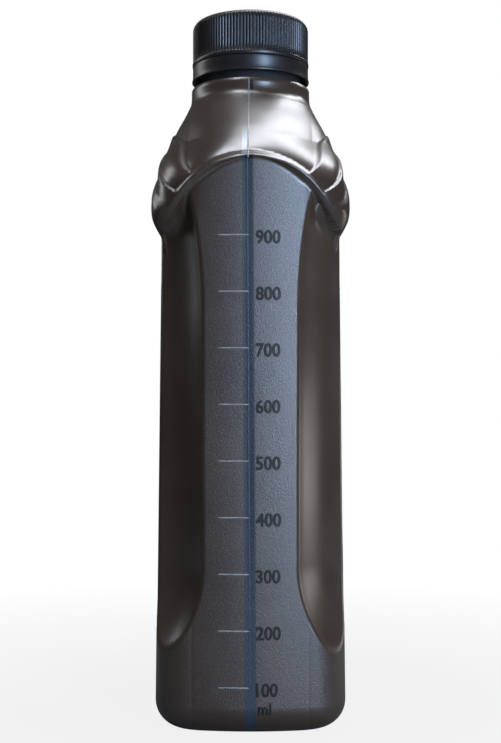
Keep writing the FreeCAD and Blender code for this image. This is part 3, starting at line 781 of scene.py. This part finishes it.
def add_stripe(m, ground, across, height, front):
    """Lay the view stripe on the panel, and its pale bloom above the arch, and return it with its share."""
    stripe = m.ramp(m.remap(across, *STRIPE_SPAN, 0.0, 1.0), STRIPE_STOPS)
    stripe = m.mix(m.remap(height, *STRIPE_FADE, 0.0, 0.85), stripe, solid(SLATE_LOW))
    left = m.remap(across, *STRIPE_LEFT, 0.0, 1.0)
    panel = all_of(m, front, m.remap(height, *STRIPE_TOP, 0.0, 1.0), m.remap(height, *STRIPE_FOOT, 0.0, 1.0))
    share = all_of(m, panel, left, m.remap(across, *STRIPE_RIGHT, 0.0, 1.0))
    ground = m.mix(share, ground, stripe)
    above = all_of(m, m.remap(height, *BLOOM_TOP, 0.0, 1.0), m.remap(height, *BLOOM_FOOT, 0.0, 1.0))
    bloom = all_of(m, above, left, m.remap(across, *BLOOM_RIGHT, 0.0, 1.0), front)
    return m.mix(bloom, ground, solid(LAVENDER)), share


def groove_share(m, x, height, front):
    """Return the share of a small lens of painted shade on the neck's front, standing in for a shaded
    groove.
    """
    up = m.math("DIVIDE", m.math("SUBTRACT", height, GROOVE_SHADE_PLACE[1]), GROOVE_SHADE_HALF[1])
    aside = m.math("DIVIDE", m.math("SUBTRACT", x, GROOVE_SHADE_PLACE[0]), GROOVE_SHADE_HALF[0])
    lens = m.math("ADD", m.math("POWER", up, 2.0), m.math("POWER", m.math("ABSOLUTE", aside), 2.0))
    return all_of(m, m.remap(lens, 1.15, 0.8, 0.0, 1.0), front)


def recess_share(m, x, depth, height):
    """Return the share of painted shade on the neck between the ledge and the band."""
    radius = m.math("SQRT", m.math("ADD", m.math("POWER", x, 2.0), m.math("POWER", depth, 2.0)))
    return all_of(m, m.remap(height, *NECK_SHADE_LEVEL, 0.0, 1.0), m.remap(radius, *NECK_SHADE_RADIUS, 0.0, 1.0))


def pewter_material(name):
    """Build the dark pewter plastic: warm ground, cool sheen, fine flake, stripe and grained flat strip,
    with painted shade on the neck and in a small lens on its front.
    """
    m = Nodes(name)
    flake = m.noise(5200.0, 2.0, 0.7)
    cloud = m.noise(46.0, 5.0)
    ground = m.tint(cloud, PEWTER_DARK, PEWTER_LIGHT)
    ground = m.mix(m.remap(flake, 0.55, 0.8, 0.0, 0.2), ground, solid(PEWTER_FLAKE))
    grain_share = m.add("ShaderNodeAttribute", attribute_name="grain").outputs["Fac"]
    coordinates = m.add("ShaderNodeSeparateXYZ", {"Vector": m.place()})
    x, depth, height = (coordinates.outputs[axis] for axis in "XYZ")
    across = m.math("ADD", x, m.remap(height, *STRIPE_DRIFT))
    front = m.remap(depth, *STRIPE_FRONT, 0.0, 1.0)
    ground, in_stripe = add_stripe(m, ground, across, height, front)
    # Painted shade: a small near-black lens on the neck's front, just below the ledge
    ground = m.mix(groove_share(m, x, height, front), ground, solid(PAINTED_SHADE_BLACK))
    # Painted shade: the neck above the ledge, under the band and cap, is painted near black and made rougher
    neck_painted_shade = recess_share(m, x, depth, height)
    ground = m.mix(neck_painted_shade, ground, solid(PAINTED_SHADE_BLACK))
    rough = m.math("ADD", m.vary(cloud, 0.28, 0.33), m.math("MULTIPLY", neck_painted_shade, 0.5))
    rough = m.math("ADD", rough, m.math("MULTIPLY", grain_share, 0.05))
    leather = m.math("MULTIPLY", m.noise(2300.0, 6.0, 0.65), m.remap(grain_share, 0.0, 1.0, 0.05, 1.0))
    normal = m.bump(m.noise(26.0, 2.0), 0.0004, 0.35, m.bump(leather, 0.00022, 0.6))
    m.shade(Base_Color=ground, Roughness=rough, Normal=normal, Metallic=0.1, IOR=1.8,
            Specular_Tint=solid((0.80, 0.88, 1.0)),
            Specular_IOR_Level=m.remap(in_stripe, 0.0, 1.0, 0.5, 0.26))
    return m.material


def worn_material(name):
    """Build the raised bars' and seam's plastic, painted pale as a painted highlight."""
    m = Nodes(name)
    pale_mottle = m.noise(700.0, 4.0)
    ground = m.tint(pale_mottle, linear(112, 109, 110), linear(146, 143, 145))
    m.shade(Base_Color=ground, Roughness=m.vary(pale_mottle, 0.35, 0.45), Normal=m.bump(pale_mottle, 0.00003, 0.3))
    return m.material


def digit_material(name):
    """Build the raised numbers' plastic, painted dark as painted shade for their shaded edges."""
    m = Nodes(name)
    mottle = m.noise(800.0, 4.0)
    ground = m.tint(mottle, linear(22, 21, 24), linear(34, 33, 38))
    m.shade(Base_Color=ground, Roughness=m.vary(mottle, 0.42, 0.5), Normal=m.bump(mottle, 0.00003, 0.3),
            Specular_IOR_Level=0.3)
    return m.material


def closure_material(name):
    """Build the satin charcoal plastic of the cap and its band."""
    m = Nodes(name)
    cloud = m.noise(70.0, 5.0)
    ground = m.tint(cloud, linear(28, 24, 24), linear(36, 32, 32))
    speck = m.noise(3000.0, 3.0)
    normal = m.bump(speck, 0.00001, 0.3)
    m.shade(Base_Color=ground, Roughness=m.vary(cloud, 0.32, 0.38), Normal=normal, IOR=1.58,
            Specular_Tint=solid((0.78, 0.87, 1.0)))
    return m.material


def liner_material(name):
    """Build the pale foamed sealing disc."""
    m = Nodes(name)
    cells = m.noise(1400.0, 5.0, 0.6)
    ground = m.tint(cells, linear(214, 212, 204), linear(228, 226, 220))
    m.shade(Base_Color=ground, Roughness=m.vary(cells, 0.6, 0.72), Normal=m.bump(cells, 0.0001, 0.3))
    return m.material


def label_material(name):
    """Build the bare label film with plain fields of colour."""
    m = Nodes(name)
    height = m.add("ShaderNodeSeparateXYZ", {"Vector": m.place()}).outputs["Z"]
    share = m.remap(height, 0.030, 0.143, 0.0, 1.0)
    fields = m.ramp(share, (
        (0.0, linear(52, 60, 74)),
        (0.235, linear(52, 60, 74)),
        (0.24, linear(176, 182, 190)),
        (0.275, linear(176, 182, 190)),
        (0.28, linear(206, 209, 212)),
        (1.0, linear(214, 217, 220)),
    ))
    fibre = m.noise(900.0, 4.0)
    ground = m.mix(m.vary(fibre, 0.0, 0.06), fields, solid(linear(150, 152, 156)))
    m.shade(Base_Color=ground, Roughness=m.vary(fibre, 0.32, 0.42), Normal=m.bump(fibre, 0.00003, 0.3))
    return m.material


def dress(obj, material):
    """Give an object one material."""
    obj.data.materials.clear()
    obj.data.materials.append(material)


def add_grain(obj):
    """Store on each vertex whether it lies on the grained strip, outside scoops and shoulder."""
    mesh = obj.data
    points = np.empty(len(mesh.vertices) * 3)
    mesh.vertices.foreach_get("co", points)
    x, y, z = points.reshape(-1, 3).T / MM
    flat = np.clip((-scoop_cut(x, y, z) - 0.35) / 0.5, 0.0, 1.0)
    narrow = np.clip((np.abs(y) - 44.0) / 6.0, 0.0, 1.0)
    shoulder = np.clip((shoulder_field(x, y, z) - 0.6) / 0.5, 0.0, 1.0)
    foot = np.clip((z - 3.0) / 6.0, 0.0, 1.0)
    attribute = mesh.attributes.new("grain", "FLOAT", "POINT")
    attribute.data.foreach_set("value", (flat * narrow * shoulder * foot).astype(np.float32))


def add_light(name, place, target, size, watts, colour=(1.0, 1.0, 1.0)):
    """Add a soft rectangular lamp that faces a target."""
    lamp = bpy.data.lights.new(name, "AREA")
    lamp.shape = "RECTANGLE"
    lamp.size, lamp.size_y = size
    lamp.energy = watts
    lamp.color = colour
    obj = bpy.data.objects.new(name, lamp)
    obj.location = place
    obj.rotation_euler = (Vector(target) - Vector(place)).to_track_quat("-Z", "Y").to_euler()
    bpy.context.scene.collection.objects.link(obj)


def build_stage():
    """Build the floor and surround, white to the camera and dim to reflections, and the lamps."""
    size = FLOOR_SIZE
    corners = [(-size, -size, 0), (size, -size, 0), (size, size, 0), (-size, size, 0)]
    floor = bpy.data.meshes.new("floor")
    floor.from_pydata(corners, [], [(0, 1, 2, 3)])
    floor = bpy.data.objects.new("floor", floor)
    bpy.context.scene.collection.objects.link(floor)
    m = Nodes("floor_white")
    m.shade(Base_Color=solid((FLOOR_GREY, FLOOR_GREY, FLOOR_GREY)), Roughness=0.9)
    glow = m.add("ShaderNodeEmission", {"Color": solid((1.0, 1.0, 1.0)), "Strength": 1.0})
    path = m.add("ShaderNodeLightPath").outputs
    seen = m.math("MAXIMUM", path["Is Camera Ray"], path["Is Transmission Ray"])
    away = m.add("ShaderNodeVectorMath", {0: m.place()}, operation="LENGTH").outputs["Value"]
    cover = m.remap(away, SHADOW_NEAR, SHADOW_FAR, SHADOW_COVER, 1.0)
    blend = m.add("ShaderNodeMixShader", {"Fac": m.math("MULTIPLY", seen, cover)})
    m.feed(blend.inputs[1], m.shader.outputs[0])
    m.feed(blend.inputs[2], glow.outputs[0])
    m.feed(m.tree.nodes["Material Output"].inputs["Surface"], blend.outputs[0])
    dress(floor, m.material)

    world = bpy.data.worlds.new("surround")
    world.use_nodes = True
    tree = world.node_tree
    background = tree.nodes["Background"]
    path = tree.nodes.new("ShaderNodeLightPath")
    strength = tree.nodes.new("ShaderNodeMapRange")
    strength.inputs["To Min"].default_value = SURROUND_LEVEL
    strength.inputs["To Max"].default_value = 1.0
    seen = tree.nodes.new("ShaderNodeMath")
    seen.operation = "MAXIMUM"
    tree.links.new(path.outputs["Is Camera Ray"], seen.inputs[0])
    tree.links.new(path.outputs["Is Transmission Ray"], seen.inputs[1])
    tree.links.new(seen.outputs[0], strength.inputs["Value"])
    tree.links.new(strength.outputs["Result"], background.inputs["Strength"])
    background.inputs["Color"].default_value = (1.0, 1.0, 1.0, 1.0)
    bpy.context.scene.world = world
    for lamp in LAMPS:
        add_light(*lamp)


def build_camera():
    """Place the camera where the photograph was taken from."""
    camera = bpy.data.cameras.new("camera")
    camera.lens = CAMERA_LENS
    camera.shift_y = CAMERA_SHIFT
    camera = bpy.data.objects.new("camera", camera)
    camera.location = CAMERA_PLACE
    camera.rotation_euler = (math.pi / 2, 0.0, 0.0)
    bpy.context.scene.collection.objects.link(camera)
    bpy.context.scene.camera = camera


bottle_plastic = pewter_material("pewter_plastic")
# The raised numbers are painted dark as painted shade
digit_painted_shade = digit_material("pewter_raised_painted_shade")
# The raised bars and seam are painted pale as a painted highlight
mark_painted_highlight = worn_material("pewter_painted_highlight")
closure_plastic = closure_material("charcoal_plastic")
liner_foam = liner_material("liner_foam")
label_film = label_material("label_film")

bottle = build_bottle()
add_grain(bottle)
bottle_normals(bottle)
thread = build_thread()
marks = build_marks()
ridge = build_parting_ridge()
numbers = build_numbers()
dress(bottle, bottle_plastic)
dress(thread, bottle_plastic)
dress(marks, mark_painted_highlight)
dress(ridge, mark_painted_highlight)
for piece in numbers:
    dress(piece, digit_painted_shade)
for piece in (bottle, thread, marks, ridge, *numbers):
    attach(piece, "bottle")
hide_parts("bottle_body")

cap_shell, cap_inside = build_cap()
for piece in (cap_shell, cap_inside):
    dress(piece, closure_plastic)
    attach(piece, "cap")
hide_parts("screw_cap")

band = build_band()
dress(band, closure_plastic)
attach(band, "bottle")
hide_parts("tamper_band")

dress(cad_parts["cap_liner"], liner_foam)
dress(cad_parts["front_label"], label_film)
dress(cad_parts["back_label"], label_film)

build_stage()
build_camera()
bpy.context.scene.view_settings.view_transform = "Standard"
